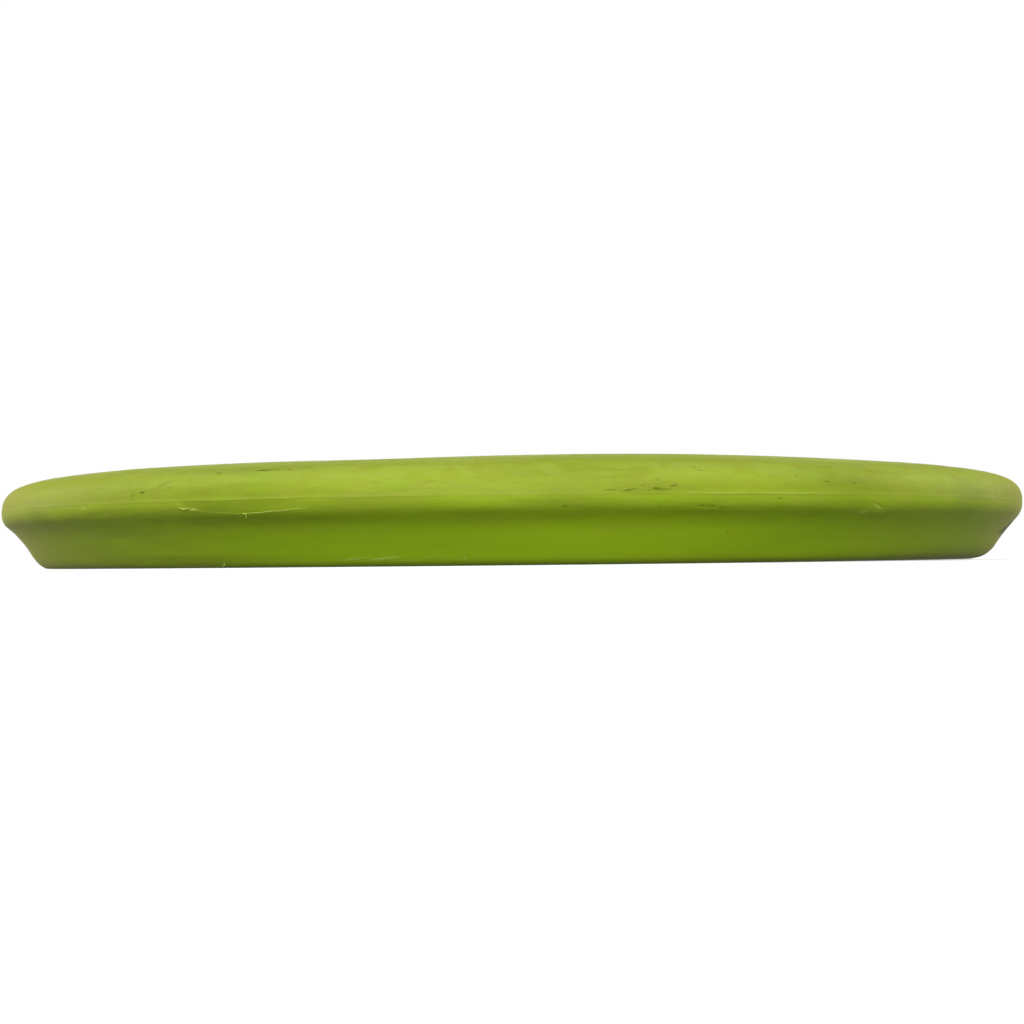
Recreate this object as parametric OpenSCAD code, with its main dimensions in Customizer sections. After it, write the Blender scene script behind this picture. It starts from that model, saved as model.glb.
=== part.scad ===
// Flying disc of the golf kind: one injection moulding, a domed flight plate running
// straight into a rim with a blunt nose, an under-cut lower wall and a rounded foot.
// Millimetres. +Z is up in flight, the origin is on the disc's axis in the plane of the foot.

/* [Disc] */
// Outside diameter at the widest point of the nose
outer_d = 212; // [200:1:240]
// Height from the foot to the top of the dome
disc_h = 20.5; // [19.5:0.1:24]
// Width of the rim, from the nose to the inside wall
rim_w = 10.8; // [10:0.1:13]

/* [Flight plate] */
// Distance from the nose in to where the dome ends and the shoulder begins
shoulder_w = 19.5; // [14:0.5:26]
// Height of the top surface where the dome ends
shoulder_z = 18.4; // [17.2:0.1:19.3]
// How full the shoulder is: 0.55 is a plain ellipse, more is squarer
shoulder_fullness = 0.74; // [0.5:0.01:0.85]
// Thickness of the plate at its centre
plate_t = 1.9; // [1.5:0.1:3]
// Depth of the rim, from the foot to the underside of the plate beside the inside wall
rim_depth = 15; // [12:0.1:15.5]
// Radius of the fillet between the inside wall and the plate
plate_fillet_r = 2.4; // [1:0.1:4]

/* [Nose and lower wall] */
// Height of the widest point of the nose
nose_z = 11.3; // [9.5:0.1:13]
// Width of the parting line, where the two halves of the mould met
parting_w = 0.5; // [0.3:0.1:1]
// How far the parting line stands out from the nose
parting_h = 0.05; // [0.05:0.05:0.3]
// Radius of the lip under the nose
lip_r = 3.8; // [3:0.1:4.5]
// How far the lip turns in before the crease, in degrees
lip_turn = 41; // [35:1:50]
// Lean of the lower wall just under the crease, from the vertical, in degrees
wall_lean_top = 46; // [40:1:50]
// Lean of the lower wall just above the foot, from the vertical, in degrees
wall_lean_foot = 37; // [28:1:38]

/* [Foot] */
// Width of the flat that the disc rests on
foot_flat_w = 0.8; // [0.4:0.1:1.5]
// Radius of the foot's outside corner
foot_outer_r = 2.6; // [1.5:0.1:4]
// Radius of the foot's inside corner
foot_inner_r = 0.6; // [0.4:0.1:1.2]

/* [Moulding marks under the plate] */
// Diameter of the gate vestige at the centre
gate_d = 6; // [3:0.5:10]
// How far the gate vestige stands down from the plate
gate_h = 0.5; // [0.2:0.1:1]
// Diameter of the dimple that the gate's tip left in the vestige
gate_dimple_d = 2; // [1:0.5:2.5]
// Diameter of the witness ring round the mould's centre insert, at its middle
insert_ring_d = 26; // [18:1:40]
// Width of the witness ring
insert_ring_w = 1.2; // [0.6:0.1:2]
// How far the witness ring stands down from the plate
insert_ring_h = 0.3; // [0.1:0.1:0.6]

/* [Hidden] */

outer_r = outer_d / 2;
nose_r = outer_r - parting_h;
nose_top = nose_z + parting_w / 2;
nose_bottom = nose_z - parting_w / 2;
inner_r = outer_r - rim_w;
dome_r = outer_r - shoulder_w;
dome_sag = disc_h - shoulder_z;
under_h = disc_h - plate_t;
under_r = inner_r - plate_fillet_r;
under_sag = under_h - rim_depth;
foot_in = inner_r + foot_inner_r;
foot_out = foot_in + foot_flat_w;
crease = [nose_r - lip_r * (1 - cos(lip_turn)), nose_bottom - lip_r * sin(lip_turn)];
foot_end = [foot_out + foot_outer_r * cos(wall_lean_foot), foot_outer_r * (1 - sin(wall_lean_foot))];
round_sides = 180;
dome_steps = 16;
shoulder_steps = 16;
wall_steps = 6;
arc_steps = 8;

// Height lost by a shallow arc of the given sagitta and half chord, at radius r
function arc_drop(r, sag, half) =
    let (big_r = (half * half + sag * sag) / (2 * sag)) big_r - sqrt(big_r * big_r - r * r);

// Slope of the same arc at radius r, as a rise over run
function arc_slope(r, sag, half) =
    let (big_r = (half * half + sag * sag) / (2 * sag)) r / sqrt(big_r * big_r - r * r);

// Points on a circular arc from angle a to angle b, both ends included
function arc(centre, r, a, b) =
    [for (i = [0:arc_steps]) let (t = a + (b - a) * i / arc_steps) centre + r * [cos(t), sin(t)]];

// Points on a cubic curve, without its first one, which the stretch before it has
function curve(p, q, r, s, steps) =
    [for (i = [1:steps]) let (t = i / steps, u = 1 - t)
        u * u * u * p + 3 * u * u * t * q + 3 * u * t * t * r + t * t * t * s];

// Height of the plate's underside at radius r
function under_z(r) = under_h - arc_drop(r, under_sag, under_r);

// The dome, from the axis out to the shoulder
function dome_outline() =
    [for (i = [0:dome_steps]) let (r = dome_r * i / dome_steps)
        [r, disc_h - arc_drop(r, dome_sag, dome_r)]];

// The shoulder, tangent to the dome and upright where it meets the parting line
function shoulder_outline() =
    let (slope = arc_slope(dome_r, dome_sag, dome_r), reach = shoulder_fullness * (nose_r - dome_r))
    curve([dome_r, shoulder_z],
          [dome_r + reach, shoulder_z - slope * reach],
          [nose_r, nose_top + shoulder_fullness * (shoulder_z - nose_top)],
          [nose_r, nose_top],
          shoulder_steps);

// The parting line, which stands out from the nose
function parting_outline() =
    [[outer_r, nose_z + parting_w / 4], [outer_r, nose_z - parting_w / 4], [nose_r, nose_bottom]];

// The lip, from the parting line to the crease
function lip_outline() =
    [for (i = [1:arc_steps]) let (a = -lip_turn * i / arc_steps)
        [nose_r - lip_r, nose_bottom] + lip_r * [cos(a), sin(a)]];

// The hollow lower wall, from the crease down to the foot's outside corner
function wall_outline() =
    let (third = norm(crease - foot_end) / 3)
    curve(crease,
          crease - third * [sin(wall_lean_top), cos(wall_lean_top)],
          foot_end + third * [sin(wall_lean_foot), cos(wall_lean_foot)],
          foot_end,
          wall_steps);

// The foot: outside corner, flat and inside corner
function foot_outline() = concat(
    [for (i = [1:arc_steps]) let (a = -wall_lean_foot - (90 - wall_lean_foot) * i / arc_steps)
        [foot_out, foot_outer_r] + foot_outer_r * [cos(a), sin(a)]],
    arc([foot_in, foot_inner_r], foot_inner_r, 270, 180));

// The fillet at the top of the inside wall
function plate_fillet_outline() =
    arc([under_r, rim_depth - plate_fillet_r], plate_fillet_r, 0, 90);

// The underside of the plate, from the fillet in to the witness ring
function underside_outline() =
    let (ring_out = (insert_ring_d + insert_ring_w) / 2)
    [for (i = [1:dome_steps]) let (r = under_r - (under_r - ring_out) * i / dome_steps) [r, under_z(r)]];

// The witness ring and the gate vestige with its dimple, from the underside in to the axis
function moulding_marks_outline() =
    let (ring_r = insert_ring_d / 2, half = insert_ring_w / 2, gate_r = gate_d / 2,
         low = under_z(gate_r) - gate_h, dimple_r = gate_dimple_d / 2)
    concat(
        [[ring_r + half / 2, under_z(ring_r) - insert_ring_h],
         [ring_r - half / 2, under_z(ring_r) - insert_ring_h],
         [ring_r - half, under_z(ring_r - half)]],
        [[gate_r, under_z(gate_r)],
         [gate_r - gate_h / 2, low],
         [dimple_r, low],
         [dimple_r / 2, low + gate_h / 2],
         [0, low + gate_h / 2]]);

module disc() {
    color("yellowgreen")
        rotate_extrude($fn = round_sides)
            polygon(concat(dome_outline(), shoulder_outline(), parting_outline(), lip_outline(),
                           wall_outline(), foot_outline(), plate_fillet_outline(), underside_outline(),
                           moulding_marks_outline()));
}

disc();
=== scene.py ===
from collections import namedtuple
from contextlib import contextmanager
import functools
import math
import random

import bmesh
import bpy
import numpy as np
from bpy.props import FloatProperty, FloatVectorProperty, IntProperty, PointerProperty
from bpy.types import Operator, Panel, PropertyGroup
from mathutils import Euler, Matrix, Vector
from mathutils.bvhtree import BVHTree


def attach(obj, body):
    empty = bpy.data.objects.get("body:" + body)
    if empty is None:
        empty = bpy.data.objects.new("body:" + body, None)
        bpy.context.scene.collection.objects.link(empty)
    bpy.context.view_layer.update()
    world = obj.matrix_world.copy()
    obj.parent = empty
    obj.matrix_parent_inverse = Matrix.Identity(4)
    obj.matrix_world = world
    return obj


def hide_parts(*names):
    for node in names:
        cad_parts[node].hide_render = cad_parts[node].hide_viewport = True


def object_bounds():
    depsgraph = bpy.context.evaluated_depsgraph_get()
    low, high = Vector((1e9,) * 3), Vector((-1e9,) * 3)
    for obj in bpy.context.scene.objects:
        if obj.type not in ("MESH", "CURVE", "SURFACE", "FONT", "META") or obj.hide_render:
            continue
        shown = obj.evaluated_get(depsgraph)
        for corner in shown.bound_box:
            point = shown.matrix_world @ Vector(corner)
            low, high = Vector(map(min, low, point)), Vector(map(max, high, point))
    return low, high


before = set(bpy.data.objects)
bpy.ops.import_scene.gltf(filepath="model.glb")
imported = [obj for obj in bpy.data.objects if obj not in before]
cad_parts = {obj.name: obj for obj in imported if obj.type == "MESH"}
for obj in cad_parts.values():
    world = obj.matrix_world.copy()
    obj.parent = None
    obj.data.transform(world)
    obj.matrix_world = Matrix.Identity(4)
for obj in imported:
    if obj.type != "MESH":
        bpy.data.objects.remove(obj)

bl_info = {
    "name": "Flying disc",
    "version": (1, 0, 0),
    "blender": (4, 5, 0),
    "location": "3D View > Sidebar > Flying disc",
    "description": "A used golf-type flying disc: the moulding, its wear, and a plain studio round it",
    "category": "Object",
}

CAD_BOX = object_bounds()
NODE = "disc"
BODY = "root"
MM = 0.001
TINY = 0.001 * MM
SMOOTH_BELOW = math.radians(32)
SHOULDER_IN = 19 * MM        # how far in from the nose the shoulder begins

FRAME_W = 1024
FRAME_H = 1024
SENSOR = 36.0

# Places in the photograph. The first four give the disc's left and right x, and its top and bottom y.
IMAGE_POINTS = {
    "left_edge": (0.7, 513.0),
    "right_edge": (1022.3, 502.0),
    "top_edge": (620.0, 454.3),
    "bottom_edge": (80.0, 568.5),
    "parting_line": (749.0, 492.3),
    "crease": (500.0, 510.5),
    "peel_left": (180.0, 507.5),
    "peel_low": (242.0, 513.8),
    "peel_right": (310.0, 507.5),
    "whisker": (247.5, 516.0),
    "hook": (224.5, 564.0),
    "long_scuff": (266.0, 470.2),
    "left_smudge": (162.0, 486.0),
    "left_spot": (142.0, 492.6),
    "nose_scuffs": (656.0, 489.0),
    "lip_scuff": (715.0, 507.0),
    "shoulder_tick": (697.0, 469.0),
    "lip_nick": (878.0, 505.5),
    "wall_scratch": (386.0, 558.0),
    "wall_smear": (1005.0, 530.0),
}


# -------- sizes and colours

def a_length(name, description, millimetres):
    return FloatProperty(name=name, description=description, default=millimetres * MM,
                         subtype="DISTANCE", unit="LENGTH")


def a_number(name, description, value):
    kind = IntProperty if isinstance(value, int) else FloatProperty
    return kind(name=name, description=description, default=value, min=0)


def an_angle(name, description, degrees):
    return FloatProperty(name=name, description=description, default=math.radians(degrees),
                         subtype="ANGLE", unit="ROTATION")


def a_colour(name, description, *value):
    return FloatVectorProperty(name=name, description=description, default=value,
                               subtype="COLOR", size=3)


class DiscShape(PropertyGroup):
    """How finely the disc is lathed, and how far from true it has been knocked."""

    turns: a_number("Turns", "Sections round the disc", 264)
    unevenness: a_length("Unevenness", "How far the rim has been knocked out of true", 0.16)
    dings: a_length("Dings", "Depth of the small hollows all over the rim", 0.11)
    warp: a_length("Warp", "How far the flight plate has risen on one side", 0.34)
    lean: a_length("Lean", "How far the rim's two ends are pushed to the camera's right", 0.6)
    flare: a_length("Flare", "How far the lower wall stands out at the rim's two ends", 0.4)
    foot_wear: a_length("Foot wear", "How far the foot's outside corner is rubbed away", 0.45)
    ridge_wear: a_length(
        "Parting line wear", "How much of the parting line is gone where it is faint", 0.05)


class DiscWear(PropertyGroup):
    """The knocks, scuffs and slivers of a disc that has been played with."""

    gouge_depth: a_length("Gouge depth", "Depth of the deepest nicks", 0.22)
    facet_depth: a_length("Facet depth", "How much a hard hit has shaved off the lip", 0.18)
    burr_width: a_length("Burr width", "Width of a sliver at its root", 0.2)
    stray_marks: a_number("Stray marks", "Marks scattered round the rim", 110)
    stray_burrs: a_number("Stray burrs", "Slivers scattered round the rim", 9)
    seed: a_number("Seed", "Picks where the stray marks and slivers fall", 7)


class DiscFinish(PropertyGroup):
    """Colours of the plastic, and of the light and shade painted on it, as linear values."""

    lime: a_colour("Lime", "The plastic as it is on the shoulder and nose", 0.43, 0.565, 0.036)
    deep: a_colour("Deep lime", "Darker streaks and patches of the same plastic", 0.32, 0.45, 0.022)
    fresh: a_colour("Fresh green", "Patches that have kept more green", 0.335, 0.57, 0.026)
    # Painted shade: a darker, greener copy of the plastic for the lower wall and the lip, which face down.
    shaded_green: a_colour(
        "Sheltered green", "The lower wall, which the sun has faded less", 0.34, 0.54, 0.011)
    # Painted light: a paler green for patches of the lower wall painted as if more lit.
    faded: a_colour("Faded green", "The lower wall where the sun has reached it", 0.42, 0.64, 0.015)
    film: a_colour("Dull film", "Dust and fine scratches", 0.41, 0.435, 0.055)
    # The colour the left and right ends are painted, as the camera sees them.
    tan: a_colour("Tan", "The dry soil rubbed into the left and right ends", 0.48, 0.4, 0.05)
    # Pale film: on the top it is dusty and also a painted sheen along the edge; under the plate it is only
    # dusty.
    dust_and_sheen: a_colour("Dust", "Pale dust on the flight plate and under it", 0.42, 0.43, 0.12)
    # Painted shade: the dark green painted into the crease under the lip.
    crease_shade: a_colour("Crease green", "What has gathered in the crease under the lip", 0.1, 0.155, 0.003)
    # Dark colour of scuffs and specks, and painted shade in broad patches over the lower wall.
    grime_and_shade: a_colour("Grime", "Dirt in scuffs and over the lower wall", 0.1, 0.115, 0.012)
    # Brown earth at the foot, which also paints the shade of the foot's rounded corner.
    soil_and_shade: a_colour("Soil", "The brown of the ground, rubbed into the foot", 0.22, 0.15, 0.03)
    handled: a_colour("Handled", "The dull brown film that hands leave on the top", 0.22, 0.14, 0.03)
    soot: a_colour("Soot", "The black streak at one end", 0.05, 0.05, 0.02)
    stress: a_colour("Stress pale", "Plastic that has been stretched, cut or peeled", 0.56, 0.68, 0.14)


class DiscStudio(PropertyGroup):
    """Where the camera stands and how the studio is lit."""

    distance: a_length("Distance", "From the camera to the disc's axis", 400)
    height: a_length("Height", "Of the camera above the foot's plane", 0.98)
    pitch: an_angle("Pitch", "How far the camera looks up", 1.458)
    roll: an_angle("Roll", "How far the camera leans to its right", 0.575)
    key: a_number("Key", "Power of the front lamp, in watts", 24.0)
    fill: a_number("Fill", "Power of each side and back lamp, in watts", 9.5)
    lamp_height: an_angle("Lamp height", "Angle of the lamps above the floor", 20)
    lamp_distance: a_length("Lamp distance", "From the disc to each lamp", 1600)
    sky: a_number("Sky", "Level of the plain light from all round", 0.2)
    bounce: a_number("Bounce", "How much of the light the floor gives back, from 0 to 1", 0.22)


# -------- shader maths

def maths(operation):
    """A method of Field that is one operation on it, and on the other value where it takes two."""
    def method(self, *others):
        return self.finish.node("Math", dict(enumerate((self, *others))), operation=operation)
    return method


class Field:
    """A value that varies over a surface: one output socket, used in plain expressions."""

    def __init__(self, finish, socket):
        self.finish = finish
        self.socket = socket

    __add__ = __radd__ = maths("ADD")
    __sub__ = maths("SUBTRACT")
    __mul__ = __rmul__ = maths("MULTIPLY")
    __truediv__ = maths("DIVIDE")
    __pow__ = maths("POWER")
    __abs__ = maths("ABSOLUTE")
    most = maths("MAXIMUM")
    least = maths("MINIMUM")
    sine = maths("SINE")

    def __rsub__(self, other):
        return self.finish.node("Math", {0: other, 1: self}, operation="SUBTRACT")

    def ease(self, low, high):
        """0 below low, 1 above high and smooth between."""
        return self.finish.node("MapRange", {"Value": self, "From Min": low, "From Max": high},
                                interpolation_type="SMOOTHSTEP")

    def near(self, centre, half, soft):
        """1 within half of centre, falling to 0 over soft."""
        return 1 - abs(self - centre).ease(half, half + soft)


class Finish:
    """The nodes of one material or world, added by expressions."""

    def __init__(self, owner):
        owner.use_nodes = True
        self.owner = owner
        self.tree = owner.node_tree
        self.tree.nodes.clear()

    def node(self, kind, inputs=None, output=0, **settings):
        made = self.tree.nodes.new("ShaderNode" + kind)
        for name, value in settings.items():
            setattr(made, name, value)
        for name, value in (inputs or {}).items():
            self.feed(made.inputs[name], value)
        return Field(self, made.outputs[output])

    def feed(self, socket, value):
        if isinstance(value, Field):
            self.tree.links.new(value.socket, socket)
        else:
            socket.default_value = value

    def mix(self, factor, below, above):
        """The colour below, covered by the colour above as far as factor says."""
        colours = {6: self.colour(below), 7: self.colour(above)}
        return self.node("Mix", {0: factor, **colours}, output=2, data_type="RGBA")

    def colour(self, value):
        return value if isinstance(value, Field) else (*value, 1.0)

    def attribute(self, name):
        return self.node("Attribute", output=2, attribute_name=name)

    def vector(self, *values):
        return self.node("CombineXYZ", dict(enumerate(values)))

    def noise(self, place, size, detail=2.0, roughness=0.5):
        """Noise with features of about the given size in millimetres."""
        inputs = {"Vector": place, "Scale": 1 / (size * MM), "Detail": detail, "Roughness": roughness}
        return self.node("TexNoise", inputs)

    def seen(self):
        """1 for rays that show the surroundings: straight, mirrored or through glass."""
        straight, mirrored, through = (self.node("LightPath", output=f"Is {kind} Ray")
                                       for kind in ("Camera", "Glossy", "Transmission"))
        return straight.most(mirrored).most(through)

    def plastic(self, colour, roughness, bump, **more):
        """A plastic surface, given its bump's strength, depth in millimetres and height."""
        strength, depth, height = bump
        normal = self.node("Bump", {"Strength": strength, "Distance": depth * MM, "Height": height})
        more = {name.replace("_", " "): value for name, value in more.items()}
        return self.end(self.node("BsdfPrincipled", {
            "Base Color": colour, "Roughness": roughness, "Normal": normal, "IOR": 1.49, **more}))

    def end(self, shader, kind="OutputMaterial"):
        output = self.tree.nodes.new("ShaderNode" + kind)
        self.tree.links.new(shader.socket, output.inputs["Surface"])
        return self.owner


# -------- camera and places in the photograph

class View:
    """The photograph's camera: rays through its pixels, and pixels of places in the room.

    Its focal length, in pixels, is what makes the disc as wide as its two edges in the photograph.
    """

    def __init__(self):
        studio = bpy.context.scene.disc_studio
        left, right = IMAGE_POINTS["left_edge"][0], IMAGE_POINTS["right_edge"][0]
        radius = CAD_BOX[1].x
        spread = math.sqrt(studio.distance ** 2 - radius ** 2) / radius
        self.focal = (right - left) / 2 * spread
        turn = math.atan((FRAME_W / 2 - (left + right) / 2) / self.focal)
        aim = Euler((math.pi / 2 + studio.pitch, 0.0, -turn)).to_matrix()
        lean = Matrix.Rotation(-studio.roll, 3, "Z")
        place = Vector((0.0, -studio.distance, studio.height))
        self.matrix = Matrix.Translation(place) @ (aim @ lean).to_4x4()

    def ray(self, x, y):
        """The start and direction of the ray through a pixel."""
        local = Vector((x - FRAME_W / 2, FRAME_H / 2 - y, -self.focal))
        return self.matrix.translation, (self.matrix.to_3x3() @ local).normalized()

    def pixels(self, places):
        """Where places in the room show, as an array of x, y."""
        local = np.c_[places, np.ones(len(places))] @ np.array(self.matrix.inverted()).T
        x = FRAME_W / 2 - local[:, 0] / local[:, 2] * self.focal
        y = FRAME_H / 2 + local[:, 1] / local[:, 2] * self.focal
        return np.c_[x, y]

    def meet(self, tree, name):
        """Where the ray through an image point meets a surface, or the place on it nearest the ray."""
        start, along = self.ray(*IMAGE_POINTS[name])
        hit = tree.ray_cast(start, along)[0]
        if hit is not None:
            return hit
        reaches = np.linspace(0.5, 1.5, 400) * start.length
        found = [tree.find_nearest(start + along * reach) for reach in reaches]
        return min(found, key=lambda near: near[3])[0]


def surface_of(piece):
    """A tree of a piece's faces, as finished and placed."""
    places = [piece.matrix_world @ v.co for v in piece.data.vertices]
    return BVHTree.FromPolygons(places, [f.vertices[:] for f in piece.data.polygons])


# -------- modelling helpers

def deselect():
    if bpy.context.object and bpy.context.object.mode != "OBJECT":
        bpy.ops.object.mode_set(mode="OBJECT")
    bpy.ops.object.select_all(action="DESELECT")


def make_active(piece):
    deselect()
    piece.select_set(True)
    bpy.context.view_layer.objects.active = piece


@contextmanager
def editing(piece):
    """Edit mode, at first with the whole piece selected."""
    make_active(piece)
    bpy.ops.object.mode_set(mode="EDIT")
    bpy.ops.mesh.select_all(action="SELECT")
    yield
    bpy.ops.object.mode_set(mode="OBJECT")


def select_where(piece, kind, test):
    """In edit mode, selects only the vertices or faces that pass the test."""
    bpy.ops.mesh.select_mode(type=kind)
    bpy.ops.mesh.select_all(action="DESELECT")
    shape = bmesh.from_edit_mesh(piece.data)
    for item in {"VERT": shape.verts, "FACE": shape.faces}[kind]:
        if test(item):
            item.select_set(True)
    shape.select_flush_mode()
    bmesh.update_edit_mesh(piece.data)


def weld():
    """In edit mode, joins what lies in one place."""
    bpy.ops.mesh.select_all(action="SELECT")
    bpy.ops.mesh.remove_doubles(threshold=TINY)


def merge():
    """In edit mode, welds, and turns every face outward."""
    weld()
    bpy.ops.mesh.select_all(action="SELECT")
    bpy.ops.mesh.normals_make_consistent(inside=False)


def apply_modifiers(piece):
    make_active(piece)
    for modifier in list(piece.modifiers):
        bpy.ops.object.modifier_apply(modifier=modifier.name)


def clamp(values):
    return np.clip(values, 0, 1)


def read(mesh, name):
    values = np.zeros(len(mesh.vertices), np.float32)
    mesh.attributes[name].data.foreach_get("value", values)
    return values.astype(float)


def write(mesh, name, values):
    if name not in mesh.attributes:
        mesh.attributes.new(name, "FLOAT", "POINT")
    mesh.attributes[name].data.foreach_set("value", np.asarray(values, np.float32))


def vertices(mesh):
    places = np.zeros(len(mesh.vertices) * 3, np.float32)
    mesh.vertices.foreach_get("co", places)
    return places.reshape(-1, 3).astype(float)


def hand_over(piece, paint):
    """Paints and smooths a finished piece and lets it ride with the disc."""
    piece.data.materials.append(paint)
    make_active(piece)
    bpy.ops.object.shade_smooth_by_angle(angle=SMOOTH_BELOW)
    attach(piece, BODY)


# -------- the outline and its coordinates

# A place on the disc is an angle round the axis, 0 towards the camera and growing to its right, and a
# distance along the outline, from the middle of the top over the nose and the foot to the underside.

class Outline:
    """The disc's half section, walked from the top of the axis round to the bottom of it."""

    def __init__(self, mesh):
        links = {v.index: [] for v in mesh.vertices}
        for edge in mesh.edges:
            a, b = edge.vertices
            links[a].append(b)
            links[b].append(a)
        ends = [v for v in links if len(links[v]) == 1]
        walk = [max(ends, key=lambda v: mesh.vertices[v].co.z)]
        before = None
        while len(walk) < len(links):
            onward = next(v for v in links[walk[-1]] if v != before)
            before = walk[-1]
            walk.append(onward)
        self.order = walk
        self.radius, _, self.height = vertices(mesh)[walk].T
        steps = np.hypot(np.diff(self.radius), np.diff(self.height))
        self.along = np.r_[0.0, np.cumsum(steps)]
        self.reach = float(self.radius.max())
        self.nose = float(self.along[self.radius > self.reach - TINY].mean())
        self.foot = float(self.along[int(self.height.argmin())])
        self.crease = float(self.along[self.steepest_overhang()])
        self.shoulder = float(self.along[int((self.radius > self.reach - SHOULDER_IN).argmax())])

    def steepest_overhang(self):
        """The point between nose and foot where the outline leans in the most."""
        lean = np.arctan2(-np.diff(self.radius), -np.diff(self.height))
        middle = (self.along[:-1] > self.nose + 1 * MM) & (self.along[:-1] < self.foot - 5 * MM)
        return int(np.where(middle, lean, -1).argmax())

    def locate(self, place):
        """Angle and distance along the outline of a place on the disc."""
        spot = np.array([math.hypot(place.x, place.y), place.z])
        corners = np.c_[self.radius, self.height]
        steps = np.diff(corners, axis=0)
        share = ((spot - corners[:-1]) * steps).sum(1) / (steps ** 2).sum(1)
        share = clamp(share)
        gap = np.linalg.norm(corners[:-1] + share[:, None] * steps - spot, axis=1)
        best = int(gap.argmin())
        along = self.along[best] + share[best] * (self.along[best + 1] - self.along[best])
        return math.atan2(place.x, -place.y), float(along)

    def place(self, angle, along):
        """The place on the disc at an angle and a distance along the outline."""
        radius = float(np.interp(along, self.along, self.radius))
        height = float(np.interp(along, self.along, self.height))
        return Vector((math.sin(angle) * radius, -math.cos(angle) * radius, height))


def half_section():
    """A wire that is the outline of the CAD disc, cut from a copy of it on the side towards +X."""
    wire = bpy.data.objects.new("disc_moulding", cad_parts[NODE].data.copy())
    bpy.context.scene.collection.objects.link(wire)
    wire.data.materials.clear()
    with editing(wire):
        weld()
        for plane, clear in (((0, 1, 0), True), ((1, 0, 0), False)):
            bpy.ops.mesh.select_all(action="SELECT")
            bpy.ops.mesh.bisect(plane_co=(0, 0, 0), plane_no=plane, clear_inner=clear, clear_outer=clear)
        select_where(wire, "VERT", lambda v: abs(v.co.y) > TINY or v.co.x < -TINY)
        bpy.ops.mesh.delete(type="VERT")
        weld()
        select_where(wire, "VERT", lambda v: len(v.link_edges) == 1 and v.co.x > TINY)
        bpy.ops.mesh.edge_face_add()
    return wire


@functools.cache
def disc_outline():
    """The outline of the CAD disc."""
    wire = half_section()
    outline = Outline(wire.data)
    bpy.data.objects.remove(wire)
    return outline


def lathe(wire, turns):
    """Spins the outline round the axis into a closed body."""
    with editing(wire):
        bpy.ops.mesh.spin(steps=turns, angle=math.tau, center=(0, 0, 0), axis=(0, 0, 1))
        merge()


def surface_coordinates(mesh):
    """Angle, distance along the outline and radius of every vertex."""
    places = vertices(mesh)
    angle = np.arctan2(places[:, 0], -places[:, 1])
    return angle, read(mesh, "profile"), np.hypot(places[:, 0], places[:, 1])


# -------- marks of play

THIN = ("scuff", "gouge", "pale")
BROAD = ("dirt", "faded", "rolled", "soot")


class Mark(namedtuple("Mark", "kind angle along half_length half_width slant strength")):
    """A mark on the disc: its kind, its middle, half its length and width, its slant and its strength."""

    def spread(self, spots):
        """How far places lie from the mark's middle, lengthwise and crosswise."""
        angle, along, radius = spots
        run = np.angle(np.exp(1j * (angle - self.angle))) * radius
        rise = self.along - along
        lengthwise = run * math.cos(self.slant) + rise * math.sin(self.slant)
        crosswise = rise * math.cos(self.slant) - run * math.sin(self.slant)
        return lengthwise, crosswise

    def covers(self, spots, margin):
        lengthwise, crosswise = self.spread(spots)
        return (abs(lengthwise) < self.half_length + margin) & (abs(crosswise) < self.half_width + margin)

    def weight(self, spots):
        """Full strength in the middle: a thin mark tapers to a point at each end, a broad one fades."""
        lengthwise, crosswise = self.spread(spots)
        end = clamp(1 - (lengthwise / self.half_length) ** 2)
        across = (crosswise / self.half_width) ** 2
        if self.kind in BROAD:
            return self.strength * clamp(end - across) ** 1.5
        return self.strength * end ** 0.5 * clamp(1 - across / np.maximum(end, 0.05))


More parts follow.
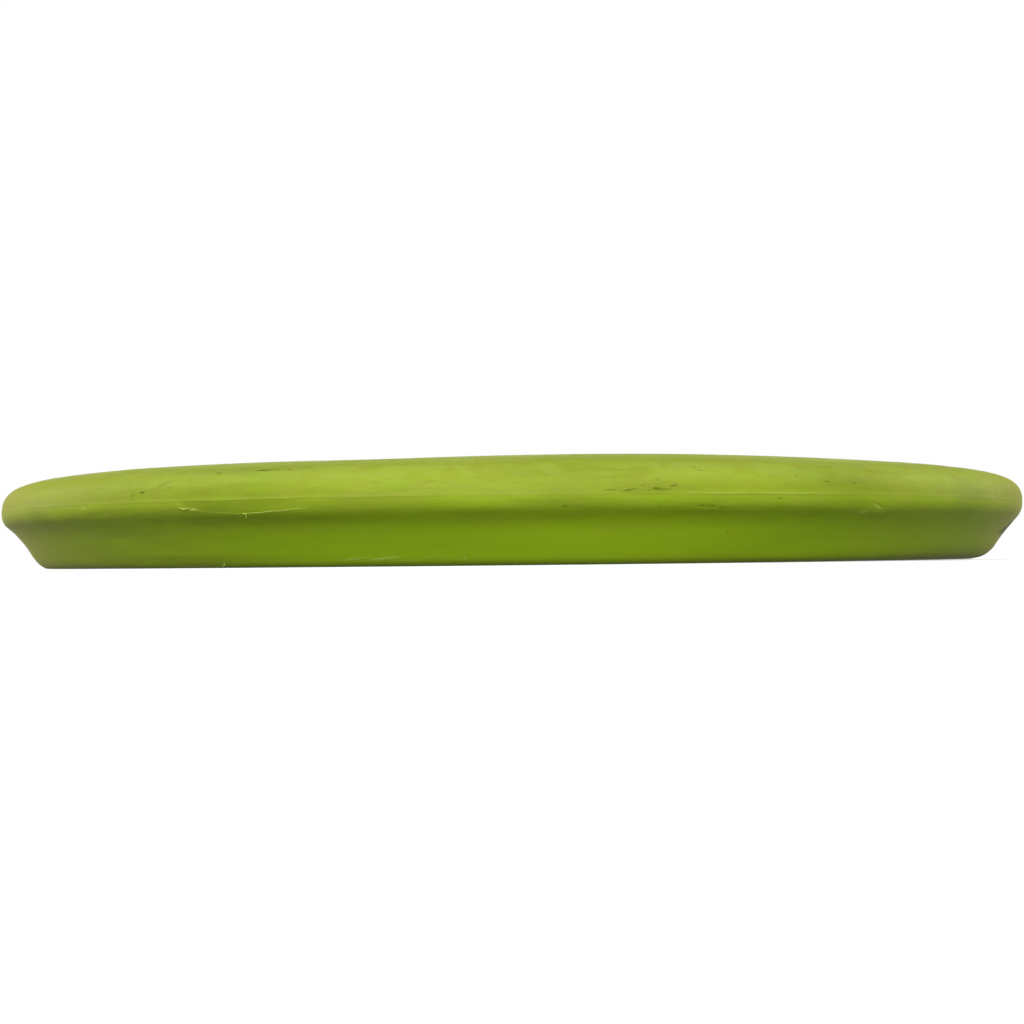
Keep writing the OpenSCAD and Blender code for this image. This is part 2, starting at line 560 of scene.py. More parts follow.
# The marks round each image point, by kind: millimetres to the right and up from it along the surface,
# half length and half width in millimetres, slant in degrees, and strength.
PHOTO_MARKS = {
    "long_scuff": {
        "scuff": ((0, 0, 2.7, 0.28, 2, 0.9), (0.2, 0, 5.2, 0.22, 1, 0.5), (-0.2, 0, 1.5, 0.38, 0, 1.8),
            (2, 0.05, 1.2, 0.25, 2, 0.7), (4.3, 0.1, 0.7, 0.32, 0, 0.65), (6.1, 0.3, 0.6, 0.32, 5, 0.55),
            (8, 0.8, 0.8, 0.32, 12, 0.5), (-8.9, -0.5, 0.8, 0.28, 0, 0.7)),
        "dirt": ((-6, 0.4, 18, 2.6, 0, 0.5),),
    },
    "left_smudge": {
        "scuff": ((0, 0.2, 1.3, 0.6, 35, 0.35), (1.3, 0.9, 1.2, 0.35, 20, 0.35),
            (1.9, -0.4, 0.9, 0.7, 0, 0.3), (-1.6, -0.5, 1.4, 0.7, 0, 0.25)),
        "dirt": ((0.5, 0.2, 5, 2, 10, 0.5),),
    },
    "left_spot": {
        "scuff": ((0, 0, 0.7, 0.34, 6, 0.85), (-2.1, -0.4, 0.8, 0.6, 0, 0.4)),
        "dirt": ((-4, 0.3, 3.8, 1.3, 0, 0.5),),
        "pale": ((-16, -2.4, 1, 0.5, 0, 0.3),),
    },
    "nose_scuffs": {
        "scuff": ((-7.5, -0.1, 1.1, 0.15, 2, 0.8), (-4.3, -0.1, 1.4, 0.17, 11, 0.8),
            (-2.1, 0.6, 0.5, 0.18, 16, 0.6), (0.6, -0.1, 2.2, 0.2, 3, 0.8), (0, 0.1, 0.5, 0.22, 0, 0.8),
            (3, 0.55, 0.9, 0.2, 8, 0.8), (0.4, 1.6, 0.35, 0.22, -50, 0.7), (6.2, -0.1, 0.9, 0.18, 0, 0.4)),
        "gouge": ((0.1, 0, 1.3, 0.24, 3, 0.4),),
        "dirt": ((-1, 0.2, 8.8, 1.6, 2, 0.4),),
    },
    "lip_scuff": {
        "scuff": ((-2.4, 0.3, 0.8, 0.2, -6, 0.5), (-0.6, 0.2, 0.9, 0.2, 4, 0.5),
            (1.4, -0.1, 0.9, 0.2, -4, 0.55), (-24.9, 0.3, 0.8, 0.2, 4, 0.6),
            (-22, 0.5, 0.7, 0.25, 0, 0.25)),
        "gouge": ((-1.3, 0.1, 2.2, 0.4, -6, 0.2),),
    },
    "shoulder_tick": {
        "scuff": ((-0.5, 0.4, 0.7, 0.15, -45, 0.8), (0.5, -0.4, 0.8, 0.15, -20, 0.8),
            (19.2, 0.2, 0.5, 0.27, -25, 0.6), (17.8, -1.3, 0.5, 0.3, 0, 0.45),
            (23.6, -2.4, 0.6, 0.3, 0, 0.55), (29.6, -2.6, 0.6, 0.3, 0, 0.45)),
        "dirt": ((-19, -1, 16, 3, 0, 0.3), (33, -3.4, 6.2, 1.8, 0, 0.5)),
    },
    "lip_nick": {
        "rolled": ((1, -1, 5, 2.2, 0, 1),),
        "gouge": ((0, 0.2, 1.4, 0.3, -18, 0.35),),
        "pale": ((0, -0.1, 1.5, 0.2, -18, 0.5), (0.8, -1, 1.4, 0.3, -4, 0.25),
            (-2.9, -1.3, 1, 0.45, 8, 0.6)),
        "scuff": ((-21, 1.1, 0.22, 0.22, 0, 1),),
    },
    "wall_scratch": {
        "pale": ((-5.4, -0.1, 2.9, 0.17, 6, 0.7), (0, 0, 3, 0.19, 6, 0.85), (4, -0.5, 1.6, 0.14, 4, 0.35),
            (7.8, 0.2, 1.4, 0.16, 12, 0.5), (13, -0.2, 0.4, 0.3, 0, 0.6), (-14, -0.9, 1, 0.15, 4, 0.35)),
    },
    "crease": {
        "scuff": ((-4, 10.4, 0.45, 0.27, -20, 0.75), (-5.6, 14.2, 3, 0.3, 2, 0.4),
            (-9.5, 15, 1, 0.2, 0, 0.6), (-20.5, 5, 2.2, 0.25, 0, 0.35), (-11, 5, 2, 0.2, 0, 0.35)),
        # Painted light: paler patches of the lower wall.
        "faded": ((24, -3.5, 42.5, 11.7, 0, 0.8), (70, -9.5, 44, 4.6, 0, 0.65)),
        # Painted shade: broad darker patches round the crease, on the lower wall and the lip.
        "dirt": ((-78, -6, 57.5, 13, 0, 0.45), (-62, 3, 47.5, 6.5, 0, 0.5), (-99, 0.5, 9, 5, 0, 0.6),
            (-66, 0.6, 30, 3.1, 0, 0.85), (-42, -1, 30, 2.5, 0, 0.85), (62, 5.5, 17.5, 5.5, 0, 0.6),
            (96, 2.4, 9, 5, 0, 0.4), (26, -0.5, 48, 1.7, 0, 0.35), (-52, 0.8, 14, 1.6, 0, 0.9),
            (-64, -9.6, 38, 1.6, 0, 1), (-22, 1.6, 18.8, 2.5, 0, 0.55), (11, 1.3, 11.2, 2.1, 0, 0.6)),
    },
    "peel_low": {
        "pale": ((-9.6, 1, 0.8, 0.25, 4, 0.9),),
    },
    "wall_smear": {
        # A dark streak painted along the right end's edge.
        "soot": ((-5, 0.1, 15, 2, 2, 1.2), (-6, 1.6, 8, 0.9, -3, 0.8), (-1, -1.3, 10, 1, 4, 0.8)),
    },
}

# Kinds of stray mark: kind, shortest and longest half length and the usual half width in millimetres,
# greatest slant in degrees, and greatest strength.
STRAY_KINDS = (
    ("scuff", 0.5, 3.0, 0.24, 12, 0.9),
    ("scuff", 0.4, 0.9, 0.4, 60, 0.7),
    ("dirt", 3.0, 14.0, 2.6, 10, 0.9),
    ("gouge", 0.5, 1.8, 0.3, 40, 0.9),
    ("pale", 0.5, 2.6, 0.14, 25, 0.7),
)


def photo_marks(view, tree, outline):
    """The marks that the photograph shows, set out round their image points."""
    marks = []
    for name, kinds in PHOTO_MARKS.items():
        hit = view.meet(tree, name)
        angle, along = outline.locate(hit)
        reach = math.hypot(hit.x, hit.y)
        for kind, rows in kinds.items():
            for right, up, length, width, slant, strength in rows:
                marks.append(Mark(kind, angle + right * MM / reach, along - up * MM, length * MM,
                                  width * MM, math.radians(slant), strength))
    return marks


def stray_marks(outline, count, seed):
    """Marks scattered round the rim, everywhere but where the photograph looks, and on the foot."""
    chance = random.Random(seed)
    marks = []
    for number in range(count):
        kind, shortest, longest, width, slant, strength = chance.choice(STRAY_KINDS)
        angle = chance.uniform(math.radians(78), math.radians(282))
        along = chance.gauss(outline.nose - 2 * MM, 5 * MM)
        if number % 6 == 0:
            along = chance.gauss(outline.foot - 1 * MM, 2 * MM)
        length = chance.uniform(shortest, longest) * MM
        half_width = width * chance.uniform(0.6, 1.2) * MM
        lean = math.radians(chance.uniform(-slant, slant))
        marks.append(Mark(kind, angle, along, length, half_width, lean, strength * chance.uniform(0.4, 1)))
    return marks


class Peel:
    """The facet that a hard hit has shaved on the lip, from the parting line down to its ragged edge."""

    def __init__(self, view, tree, outline):
        self.reach = outline.reach
        self.start, self.left = outline.locate(view.meet(tree, "peel_left"))
        self.end, self.right = outline.locate(view.meet(tree, "peel_right"))
        self.low = outline.locate(view.meet(tree, "peel_low"))[1]
        self.top = outline.nose + 0.2 * MM

    def edge(self, share):
        """Distance along the outline of the facet's lower edge, a share of the way along it."""
        chord = self.left + (self.right - self.left) * share
        sag = self.low - (self.left + self.right) / 2
        stops = (0, 0.15, 0.3, 0.45, 0.6, 0.8, 1)
        return chord + sag * np.interp(share, stops, (0, 0.48, 0.82, 1, 0.84, 0.42, 0))

    def across(self, angle, along):
        """How far across the facet places lie, 0 at its top and 1 at its edge, and how far along it."""
        share = clamp((angle - self.start) / (self.end - self.start))
        across = clamp((along - self.top) / (self.edge(share) - self.top))
        return across, share

    def covers(self, spots, margin):
        angle, along, _ = spots
        wide = margin / self.reach
        level = (along > self.top - margin) & (along < self.low + margin)
        return (angle > self.start - wide) & (angle < self.end + wide) & level


def subdivide_where(piece, wanted, cuts):
    """Cuts the faces whose vertices are all wanted finer, following the curve of the surface."""
    with editing(piece):
        select_where(piece, "FACE", lambda f: all(wanted[v.index] for v in f.verts))
        bpy.ops.mesh.subdivide(number_cuts=cuts, smoothness=1.0)


def refine(piece, outline, marks, thin_marks):
    """Makes the mesh finer on the rim, finer again under each mark, and finest under the thin ones."""
    along = surface_coordinates(piece.data)[1]
    subdivide_where(piece, (along > outline.shoulder + 4 * MM) & (along < outline.foot - 2 * MM), 1)
    for those, margin, cuts in ((marks, 0.9 * MM, 2), (thin_marks, 0.4 * MM, 1)):
        spots = surface_coordinates(piece.data)
        covered = [mark.covers(spots, margin) for mark in those]
        subdivide_where(piece, np.any(covered, axis=0), cuts)


def push(piece, name, weights, distance, direction="NORMAL", noise_size=None):
    """Moves the surface by a weighted distance, evenly or by noise with features of the given size."""
    group = piece.vertex_groups.new(name=name)
    for index in np.flatnonzero(weights > 0.01):
        group.add([int(index)], float(weights[index]), "REPLACE")
    modifier = piece.modifiers.new(name, "DISPLACE")
    modifier.vertex_group = name
    modifier.direction = direction
    modifier.strength = distance
    modifier.mid_level = 0.0
    if noise_size:
        modifier.mid_level = 0.5
        modifier.texture_coords = "LOCAL"
        modifier.texture = bpy.data.textures.new(name, "CLOUDS")
        modifier.texture.noise_scale = noise_size


def strongest(kind, marks, spots):
    """The strongest of the marks of a kind at each place."""
    return np.max([mark.weight(spots) for mark in marks if mark.kind == kind], axis=0)


# Where the parting line has not been worn away: degrees round the disc, half length in degrees, and how
# much of it is left.
RIDGE_STRETCHES = ((23, 8, 1.0), (-25, 17, 0.55), (112, 14, 0.8), (197, 20, 1.0), (262, 9, 0.6))


def crispness(angle):
    """How much of the parting line is left, from 0 to 1."""
    left = np.full(np.shape(angle), 0.05)
    for middle, half, share in RIDGE_STRETCHES:
        away = abs(np.degrees(np.angle(np.exp(1j * (angle - math.radians(middle))))))
        left = np.maximum(left, share * clamp((half + 3 - away) / 6))
    return left


def plate_wave(x):
    """How far the flight plate stands up or down, from left to right, as a share of its warp."""
    swelling = np.exp(-((x - 26 * MM) / (32 * MM)) ** 2)
    dip = np.exp(-((x + 24 * MM) / (14 * MM)) ** 2)
    return swelling - 0.5 * dip


def wear_body(body, outline, marks, peel, shape, wear):
    """Pushes the lathed surface about, and notes where, for the paint."""
    mesh = body.data
    angle, along, radius = spots = surface_coordinates(mesh)
    from_nose, from_foot = (along - outline.nose) / MM, (along - outline.foot) / MM
    for kind in THIN + BROAD:
        write(mesh, kind, strongest(kind, marks, spots))
    across, share = peel.across(angle, along)
    inward = np.sin(math.pi * share)
    inside = clamp(16 * np.minimum(across, 1 - across)) * clamp(4 * inward)
    write(mesh, "peel", inside * (1.1 - share))
    write(mesh, "ridge", crispness(angle))
    push(body, "gouged", read(mesh, "gouge"), -wear.gouge_depth)
    push(body, "rolled_lip", read(mesh, "rolled"), -wear.gouge_depth, direction="Z")
    push(body, "shaved", 4 * across * (1 - across) * inward ** 0.5, -wear.facet_depth)
    on_ridge = clamp(1.5 - abs(from_nose) / 0.2)
    push(body, "worn_ridge", on_ridge * (1 - crispness(angle)), -shape.ridge_wear)
    corner = clamp(1 - ((from_foot + 1.2) / 3.4) ** 2) ** 2
    right = clamp(np.cos(angle - math.radians(75))) ** 4
    back = clamp(np.cos(angle - math.radians(200))) ** 4
    push(body, "worn_foot", corner * (right + 0.6 * back), -shape.foot_wear)
    rim = np.clip((along - outline.shoulder) / (10 * MM), 0.15, 1)
    rim *= clamp(-from_foot / 4)
    push(body, "knocked", rim, shape.unevenness, noise_size=16 * MM)
    push(body, "dinged", rim * (radius > outline.reach - 14 * MM), shape.dings, noise_size=2.6 * MM)
    places = vertices(mesh)
    leaning = np.interp(from_nose, (-16, -9, -3, 0, 2.8, 5, 14, 17), (0, 1, 0.5, 0.25, 0, 0.5, 0.6, 0))
    ends = (places[:, 0] / outline.reach) ** 4
    flaring = clamp(1 - abs(from_nose - 11.6) / 3.4)
    push(body, "flared", flaring * ends, shape.flare)
    push(body, "leaned", leaning * ends, shape.lean, direction="X")
    plate = clamp((outline.reach - 2 * MM - radius) / (14 * MM))
    plate *= clamp(places[:, 2] / (5 * MM) - 1.8)
    wave = plate_wave(places[:, 0])
    for name, way in (("warped_up", 1), ("warped_down", -1)):
        push(body, name, plate * clamp(way * wave), way * shape.warp, direction="Z")
    apply_modifiers(body)


class MouldBody(Operator):
    """Lathe the disc from the frame's outline and wear it"""

    bl_idname = "flying_disc.mould_body"
    bl_label = "Moulded disc"

    def execute(self, context):
        shape, wear = context.scene.disc_shape, context.scene.disc_wear
        outline = disc_outline()
        body = half_section()
        profile = np.zeros(len(body.data.vertices))
        profile[Outline(body.data).order] = outline.along
        write(body.data, "profile", profile)
        lathe(body, shape.turns)
        view = View()
        tree = surface_of(body)
        peel = Peel(view, tree, outline)
        seen = photo_marks(view, tree, outline)
        marks = seen + stray_marks(outline, wear.stray_marks, wear.seed)
        refine(body, outline, [mark for mark in marks if mark.kind in THIN] + [peel],
               [mark for mark in seen if mark.half_width < 0.4 * MM])
        wear_body(body, outline, marks, peel, shape, wear)
        hand_over(body, disc_plastic(context.scene.disc_finish, outline))
        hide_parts(NODE)
        return {"FINISHED"}


# -------- slivers

def sliver(name, path, widths, facing, flat=0.5):
    """A thin strip of plastic along a path: a small ring drawn out step by step, as wide as widths say."""
    deselect()
    way = (path[-1] - path[0]).normalized()
    side = facing.cross(way).normalized()
    turn = Matrix((side, way.cross(side), way)).transposed().to_euler()
    bpy.ops.mesh.primitive_circle_add(
        vertices=8, radius=0.5, fill_type="NGON", location=path[0], rotation=turn)
    piece = bpy.context.object
    piece.name = piece.data.name = name
    piece.scale = (widths[0], widths[0] * flat, 1.0)
    bpy.ops.object.transform_apply(location=True, rotation=True, scale=True)
    with editing(piece):
        for here, there, width, next_width in zip(path, path[1:], widths, widths[1:]):
            bpy.ops.mesh.extrude_region_move(TRANSFORM_OT_translate={"value": there - here})
            bpy.ops.transform.resize(value=(next_width / width,) * 3, center_override=there)
        merge()
    smooth = piece.modifiers.new("smooth", "SUBSURF")
    smooth.levels = smooth.render_levels = 1
    apply_modifiers(piece)
    return piece


def burr(name, tree, place, strokes, width, lift):
    """A sliver on the surface: strokes are its points to the right and up from a place, in millimetres."""
    spot, out = tree.find_nearest(place)[:2]
    right = Vector((0, 0, 1)).cross(out).normalized()
    up = out.cross(right).normalized()
    path, widths = [], []
    for number, (across, rise) in enumerate(strokes):
        swell = math.sin(math.pi * (number + 0.6) / (len(strokes) + 0.2))
        near = tree.find_nearest(spot + (right * across + up * rise) * MM)
        path.append(near[0] + near[1] * lift * swell)
        widths.append(width * (0.25 + 0.75 * swell))
    return sliver(name, path, widths, out)


def sliver_kit(scene):
    """What the slivers are made with: their width, their paint, and where the disc and its marks lie."""
    tree = surface_of(bpy.data.objects["disc_moulding"])
    return scene.disc_wear.burr_width, cut_plastic(scene.disc_finish), disc_outline(), View(), tree


class PeelLip(Operator):
    """Raise the ragged edge of the facet on the lip, with its curled end and its hanging whisker"""

    bl_idname = "flying_disc.peel_lip"
    bl_label = "Peeled lip"

    def execute(self, context):
        width, paint, outline, view, tree = sliver_kit(context.scene)
        peel = Peel(view, tree, outline)
        chance = random.Random(context.scene.disc_wear.seed)
        path, widths = [], []
        for share in np.linspace(0.0, 1.0, 40):
            angle = peel.start + (peel.end - peel.start) * share
            ragged = chance.uniform(-1, 1) * 0.06 * MM
            spot, out = tree.find_nearest(outline.place(angle, peel.edge(share) + ragged))[:2]
            path.append(spot + out * width * 0.1)
            thick = float(np.interp(share, (0.0, 0.06, 0.12, 0.17, 0.45, 0.6, 0.9, 1.0),
                                    (0.3, 0.9, 0.6, 0.2, 0.25, 0.75, 0.6, 0.1)))
            widths.append(width * thick * chance.uniform(0.75, 1.25))
        facing = tree.find_nearest(path[0])[1]
        hand_over(sliver("peeled_edge", path, widths, facing), paint)
        start = view.meet(tree, "peel_left")
        tick = ((-0.35, 0.8), (-0.2, 0.62), (-0.1, 0.4), (-0.15, 0.2))
        curl = ((-0.5, 0.1), (0.1, -0.12), (0.6, -0.3), (1.05, -0.34), (1.5, -0.24), (2, -0.14))
        hand_over(burr("peeled_tick", tree, start, tick, width * 1.4, 0.1 * MM), paint)
        hand_over(burr("peeled_curl", tree, start, curl, width * 1.5, 0.16 * MM), paint)
        hand_over(self.whisker(outline, view, tree, peel, width), paint)
        return {"FINISHED"}

    def whisker(self, outline, view, tree, peel, width):
        """A hair of plastic that hangs free from the facet's edge, with a cap where it joins."""
        angle = outline.locate(view.meet(tree, "whisker"))[0]
        share = (angle - peel.start) / (peel.end - peel.start)
        root, out = tree.find_nearest(outline.place(angle, float(peel.edge(share))))[:2]
        right = Vector((0, 0, 1)).cross(out).normalized()
        hang = ((-0.8, 0.02), (-0.4, -0.06), (-0.05, -0.12), (0.04, -0.35), (0.0, -0.65), (0.05, -0.95))
        path = [root + (right * across + Vector((0, 0, rise)) + out * 0.06) * MM for across, rise in hang]
        return sliver("whisker", path, [width * share for share in (1.0, 1.5, 1.6, 0.9, 0.7, 0.5)], out)


class RaiseBurrs(Operator):
    """Turn up the small burrs that knocks leave on the foot and round the rim"""

    bl_idname = "flying_disc.raise_burrs"
    bl_label = "Burrs"

    def execute(self, context):
        wear = context.scene.disc_wear
        width, paint, outline, view, tree = sliver_kit(context.scene)
        hook = ((-0.6, -0.16), (-0.3, -0.24), (0.0, -0.14), (0.18, 0.1), (0.28, 0.4))
        place = view.meet(tree, "hook")
        hand_over(burr("foot_hook", tree, place, hook, width * 1.3, 0.4 * MM), paint)
        chance = random.Random(wear.seed)
        for number in range(wear.stray_burrs):
            angle = chance.uniform(math.radians(80), math.radians(280))
            along = chance.choice((outline.nose + 1.5 * MM, outline.nose - 1 * MM, outline.foot - 2.5 * MM))
            length, bend = chance.uniform(0.6, 1.8), chance.uniform(-0.4, 0.4)
            strokes = [(length * (n / 4 - 0.5), bend * math.sin(math.pi * n / 4)) for n in range(5)]
            spot = outline.place(angle, along + chance.uniform(-1, 1) * MM)
            piece = burr(f"burr_{number + 1}", tree, spot, strokes, width, 0.1 * MM)
            hand_over(piece, paint)
        return {"FINISHED"}


# -------- finishes

def scratches(finish, x, y, turn):
    """Fine long scratches that run roughly one way and curve, where the noise is high."""
    along = x * math.cos(turn) + y * math.sin(turn)
    across = y * math.cos(turn) - x * math.sin(turn)
    waver = finish.noise(finish.vector(x, y, turn), 60) * (60 * MM)
    lines = finish.noise(finish.vector(along, (across + waver) * 50, turn), 26, 2, 0.6)
    return lines.ease(0.65, 0.69)


def disc_plastic(look, outline):
    """Worn satin plastic: dusty film, stains, marks of play, and painted light and shade on the wall,
    crease, lip, top and foot.
    """
    finish = Finish(bpy.data.materials.new("disc_plastic"))
    noise = finish.noise
    place = finish.node("TexCoord", output="Object")
    x, y = (finish.node("SeparateXYZ", {"Vector": place}, output=n) for n in (0, 1))
    profile, scuff, gouge, pale, dirt, faded, soot, ridge, peel = map(
        finish.attribute, "profile scuff gouge pale dirt faded soot ridge peel".split())
    reach = (x * x + y * y) ** 0.5 + 0.5 * MM
    around_x, around_y = x / reach * outline.reach, y / reach * outline.reach
    streaked = finish.vector(around_x, around_y, profile * 7)

    patches = noise(place, 17, 3).ease(0.35, 0.68)
    blotches = noise(streaked, 5, 3, 0.6).ease(0.4, 0.7)
    fine = noise(place, 1.6, 4, 0.6)
    streaks = noise(streaked, 9, 4, 0.55)
    smears = noise(streaked, 24, 5, 0.6)
    grain = noise(streaked, 1.1, 3, 0.6)
    broken = grain.ease(0.35, 0.62)
    flecks = noise(streaked, 2.6, 3, 0.6).ease(0.48, 0.7)
    greener = noise(place, 11, 3, 0.55).ease(0.42, 0.66)
    mottle = noise(place, 4.5, 3, 0.6)
    smudges = noise(place, 30, 5, 0.65).ease(0.52, 0.72)

    # Millimetres along the outline from four places on it, and what lies between them.
    from_shoulder, from_nose, from_crease, from_foot = ((profile - start) / MM for start in (
        outline.shoulder, outline.nose, outline.crease, outline.foot))
    plate = 1 - from_shoulder.ease(-60, -4)
    top = 1 - from_shoulder.ease(-14, 8)
    ring = from_shoulder.near(3, 3, 7)
    held = from_shoulder.near(8, 3.5, 5)
    rubbed_top = from_shoulder.near(15.5, 1, 2.5) * (x / outline.reach).ease(-0.8, -0.5)
    rim = from_nose.near(-2, 6, 6)
    parting = from_nose.near(0, 0.08, 0.1)
    wall = from_crease.ease(-1.2, 0.4)
    lip = from_nose.ease(0.05, 0.3) * (1 - wall)
    under_lip = from_crease.ease(-2.5, 0) * (1 - from_crease.ease(0.3, 5))
    foot = from_foot.near(-1, 0.9, 1.4)
    under = from_foot.ease(0, 1)
    left = (x / outline.reach + 0.95).ease(0.65, 0.0)
    right = (x / outline.reach).ease(0.3, 0.95)
    ends = (abs(x) / outline.reach).ease(0.76, 1.0)
    scratched = sum(scratches(finish, x, y, math.radians(turn)) for turn in (12, 47, 84, 121, 158))
    scratched = scratched.least(1.0) * (1 - from_shoulder.ease(-9, 7))

    # Dirty marks, and the broad patches of painted shade round the crease, broken up by streaks.
    soiling_and_shade = dirt * (0.1 + 0.6 * (smears + streaks - 0.5).most(0.0))
    # How dark the streak along the right end's edge is painted.
    rubbed = soot * (0.7 + 0.5 * streaks.ease(0.35, 0.6)) * (0.75 + 0.4 * broken)
    dark = (scuff * (0.35 + 0.9 * broken)).ease(0.06, 0.75)
    speck = noise(place, 2.6, 2).ease(0.72, 0.80)
    layers = (
        (patches * 0.3, look.deep),
        (streaks.ease(0.42, 0.75) * 0.6, look.deep),
        (greener * 0.4, look.fresh),
        (blotches * (0.4 + 0.25 * right), look.film),
        (flecks * (0.5 + 0.35 * right), look.deep),
        (mottle.ease(0.44, 0.62) * (0.2 + 0.25 * right), look.deep),
        (mottle.ease(0.54, 0.36) * 0.25, look.film),
        # Painted shade: the lower wall takes the darker, greener copy of the plastic.
        (wall * 0.9, look.shaded_green),
        # Painted light: paler patches on the lower wall.
        (wall * faded.ease(0, 1), look.faded),
        # Painted shade: the top is painted darker.
        (top * (0.4 + smears * 0.3), look.deep),
        # Dusty film on the top, which also paints a pale sheen there.
        (top * (0.2 + smears * 0.5), look.dust_and_sheen),
        # The left and right ends, as the camera sees them, are painted duller and paler.
        (left * (0.35 + smears * 0.4), look.film),
        (right * (0.15 + smears * 0.3), look.film),
        (rim * smears.ease(0.48, 0.75) * 0.3, look.film),
        (ring * 0.12 * streaks, look.grime_and_shade),
        (top * smudges * 0.12, look.grime_and_shade),
        (top * 0.06 + held * (0.05 + 0.22 * smears), look.handled),
        (rubbed_top * (0.05 + 0.22 * mottle.ease(0.36, 0.56)), look.stress),
        (scratched * (0.15 + 0.5 * smears), look.stress),
        (under * (0.08 + 0.25 * smudges + 0.2 * patches), look.dust_and_sheen),
        # Painted shade: the lip below the parting line is painted darker.
        (lip * (0.15 + 0.4 * mottle), look.shaded_green),
        # The left and right ends are painted browner.
        (ends * (0.25 + smears * 0.45 + wall * 0.25), look.tan),
        # Painted shade in the crease under the lip.
        (under_lip * (0.22 + streaks * 0.26) * (1 - 0.5 * right), look.crease_shade),
        # Dirty marks and the painted shade patches round the crease.
        (soiling_and_shade.least(0.38), look.grime_and_shade),
        # Brown earth and painted shade on the foot's rounded corner.
        (foot * (0.08 + smears * 0.4) * (0.7 + right), look.soil_and_shade),
        (peel * 0.2, look.grime_and_shade),
        (rubbed.ease(0.08, 0.9) * 0.8, look.soot),
        (parting * ridge * streaks.ease(0.3, 0.55) * 0.3, look.stress),
        (dark * 0.72, look.grime_and_shade),
        ((gouge * 0.35).least(0.35), look.deep),
        ((pale * (0.4 + broken)).least(1.0), look.stress),
        (speck * 0.25 * (1 - under), look.grime_and_shade),
    )
    colour = look.lime
    for cover, shade in layers:
        colour = finish.mix(cover, colour, shade)

    roughness = 0.44 + 0.1 * fine + 0.1 * top + 0.15 * dark + 0.06 * patches + 0.1 * scratched
    turned = (reach * (math.tau / (0.9 * MM))).sine()
    height = fine * 0.4 + streaks * 0.5 - dark * 0.3 - scratched * 0.4 + turned * under * 0.12
    satin = profile.ease(outline.shoulder + 13 * MM, outline.nose - 2 * MM) * (0.12 - 0.12 * dark)
    sheen = plate * (0.25 - 0.15 * scratched - 0.15 * smudges).most(0.0) + satin
    return finish.plastic(colour, roughness, (0.35, 0.12, height),
                          Specular_IOR_Level=0.003, Coat_Weight=sheen, Coat_Roughness=0.32)


def cut_plastic(look):
    """The same plastic where it is cut or drawn out: paler, and finely ragged."""
    if "cut_plastic" in bpy.data.materials:
        return bpy.data.materials["cut_plastic"]
    finish = Finish(bpy.data.materials.new("cut_plastic"))
    place = finish.node("TexCoord", output="Object")
    ragged = finish.noise(place, 0.5, 3, 0.6)
    colour = finish.mix(ragged.ease(0.35, 0.7), look.stress, look.lime)
    return finish.plastic(colour, 0.5 + 0.1 * ragged, (0.5, 0.05, ragged), Specular_IOR_Level=0.004)


def floor_paint(studio):
    """White where it is seen, with the disc's shadow on it, and plain and pale where it bounces light."""
    finish = Finish(bpy.data.materials.new("floor"))
    bounce = finish.node("BsdfDiffuse", {"Color": (studio.bounce,) * 3 + (1,)})
    pale = finish.node("BsdfDiffuse", {"Color": (0.8, 0.8, 0.8, 1)})
    glow = finish.node("Emission", {"Strength": 0.55})
    shown = finish.node("AddShader", {0: pale, 1: glow})
    return finish.end(finish.node("MixShader", {0: finish.seen(), 1: bounce, 2: shown}))


def plain_sky(studio):
    """White where it is seen or mirrored, and a plain level where it lights."""
    finish = Finish(bpy.data.worlds.new("sky"))
    level = finish.seen() * (1 - studio.sky) + studio.sky
    paint = finish.node("Background", {"Color": (1, 1, 1, 1), "Strength": level})
    return finish.end(paint, "OutputWorld")


# -------- the studio

class SetStage(Operator):
    """Lay the floor, hang the lamps and stand the camera where the photograph was taken"""

    bl_idname = "flying_disc.set_stage"
    bl_label = "Floor, lamps and camera"

    def execute(self, context):
        studio = context.scene.disc_studio
        deselect()
        bpy.ops.mesh.primitive_circle_add(
            vertices=96, radius=1300 * MM, fill_type="NGON", location=(0, 0, CAD_BOX[0].z - 0.02 * MM))
        floor = context.object
        floor.name = "floor"
        bpy.ops.object.transform_apply(location=True)
        floor.data.materials.append(floor_paint(studio))
        self.lamp(studio, "key", -8, studio.key, 1.5)
        for name, azimuth in (("fill_left", -110), ("fill_right", 110), ("fill_back", 180)):
            self.lamp(studio, name, azimuth, studio.fill, 1.2)
        context.scene.world = plain_sky(studio)
        context.scene.camera = self.camera(View())
        context.scene.view_settings.view_transform = "Standard"
        return {"FINISHED"}

    def lamp(self, studio, name, azimuth, power, size):
        """A square soft lamp that looks at the disc. Azimuth 0 is the camera's side, 90 its right."""
        light = bpy.data.lights.new(name, "AREA")
        light.energy, light.size = power, size
        lamp = bpy.data.objects.new(name, light)
        bpy.context.scene.collection.objects.link(lamp)
        around, above = math.radians(azimuth), studio.lamp_height
        out = Vector((math.sin(around), -math.cos(around), math.tan(above))).normalized()
        lamp.location = out * studio.lamp_distance
        lamp.rotation_euler = (-out).to_track_quat("-Z", "Y").to_euler()

    def camera(self, view):
        """The photograph's camera, which stands low enough to need a near clipping plane."""
        camera = bpy.data.cameras.new("camera")
        camera.sensor_fit = "AUTO"
        camera.sensor_width = SENSOR
        camera.lens = view.focal * SENSOR / max(FRAME_W, FRAME_H)
        camera.clip_start, camera.clip_end = 1 * MM, 100
        stand = bpy.data.objects.new("camera", camera)
        bpy.context.scene.collection.objects.link(stand)
        stand.matrix_world = view.matrix
        return stand


# -------- the sidebar

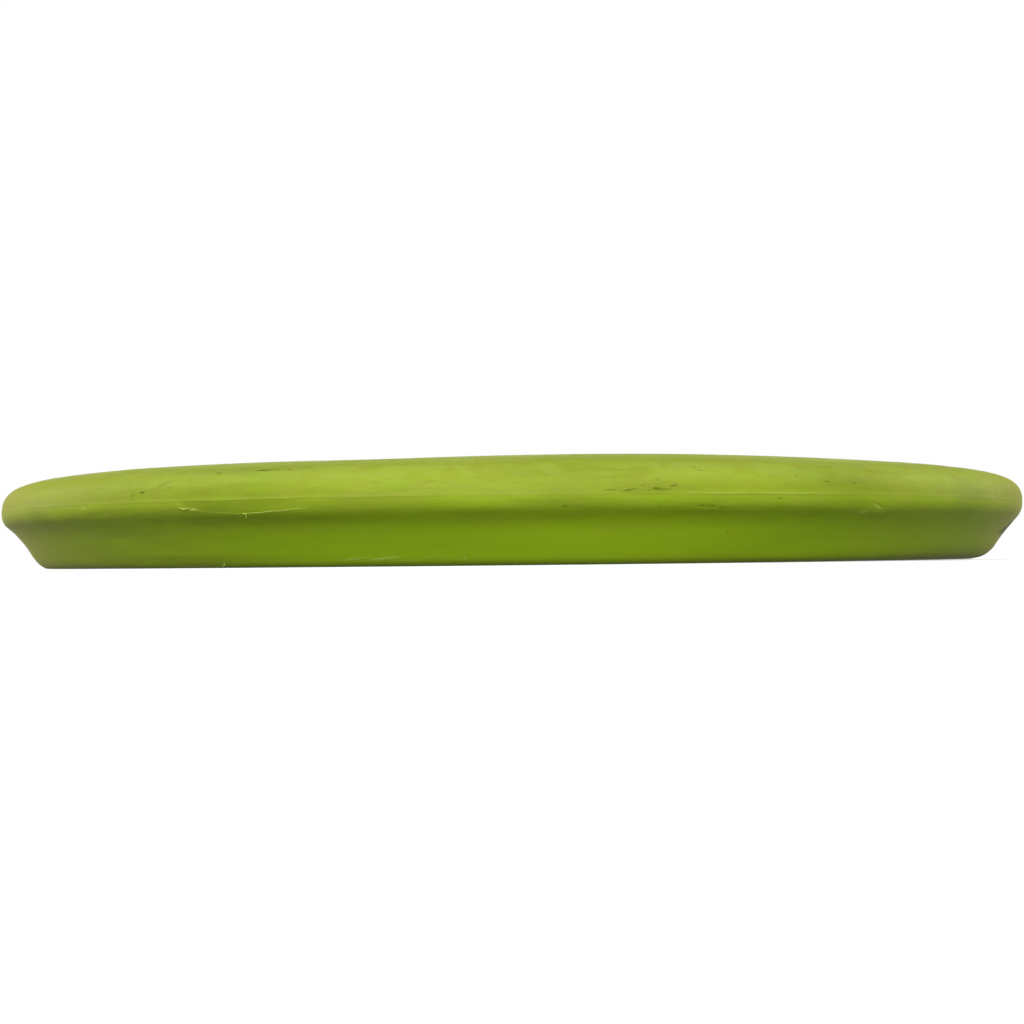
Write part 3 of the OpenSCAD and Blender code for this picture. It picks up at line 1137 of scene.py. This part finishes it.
class DiscPanel(Panel):
    """The disc's pieces and their sizes"""

    bl_idname = "VIEW3D_PT_flying_disc"
    bl_label = "Flying disc"
    bl_space_type = "VIEW_3D"
    bl_region_type = "UI"
    bl_category = "Flying disc"

    def draw(self, context):
        for group in GROUPS:
            box = self.layout.box()
            settings = getattr(context.scene, group)
            for name in settings.bl_rna.properties.keys():
                if name not in ("rna_type", "name"):
                    box.prop(settings, name)
        for operator in OPERATORS:
            self.layout.operator(operator.bl_idname)


GROUPS = {
    "disc_shape": DiscShape,
    "disc_wear": DiscWear,
    "disc_finish": DiscFinish,
    "disc_studio": DiscStudio,
}
OPERATORS = (MouldBody, PeelLip, RaiseBurrs, SetStage)


def register():
    for made in (*GROUPS.values(), *OPERATORS, DiscPanel):
        bpy.utils.register_class(made)
    for name, group in GROUPS.items():
        setattr(bpy.types.Scene, name, PointerProperty(type=group))


def unregister():
    for name in GROUPS:
        delattr(bpy.types.Scene, name)
    for made in (DiscPanel, *OPERATORS, *GROUPS.values()):
        bpy.utils.unregister_class(made)


# -------- how far things show from their image points

def check_points(view):
    """How far in x and y each thing shows from its image point."""
    outline = disc_outline()
    body = bpy.data.objects["disc_moulding"]
    spots = view.pixels(vertices(body.data))
    shown = {
        "left_edge": (spots[:, 0].min(), None),
        "right_edge": (spots[:, 0].max(), None),
        "top_edge": (None, spots[:, 1].min()),
        "bottom_edge": (None, spots[:, 1].max()),
    }
    for name, along in (("parting_line", outline.nose), ("crease", outline.crease)):
        ring = view.pixels([outline.place(math.radians(angle), along) for angle in range(-70, 71)])
        x = IMAGE_POINTS[name][0]
        shown[name] = (x, np.interp(x, ring[:, 0], ring[:, 1]))
    tree = surface_of(body)
    for name in IMAGE_POINTS:
        if name not in shown:
            shown[name] = view.pixels([view.meet(tree, name)])[0]
    for name, piece in (("whisker", "whisker"), ("hook", "foot_hook")):
        shown[name] = view.pixels(vertices(bpy.data.objects[piece].data)).mean(axis=0)
    return {name: [None if here is None else round(float(here - there), 2)
                   for here, there in zip(shown[name], point)] for name, point in IMAGE_POINTS.items()}


def main():
    register()
    bpy.ops.flying_disc.mould_body()
    bpy.ops.flying_disc.peel_lip()
    bpy.ops.flying_disc.raise_burrs()
    bpy.ops.flying_disc.set_stage()
    check_points(View())


if __name__ == "__main__":
    main()
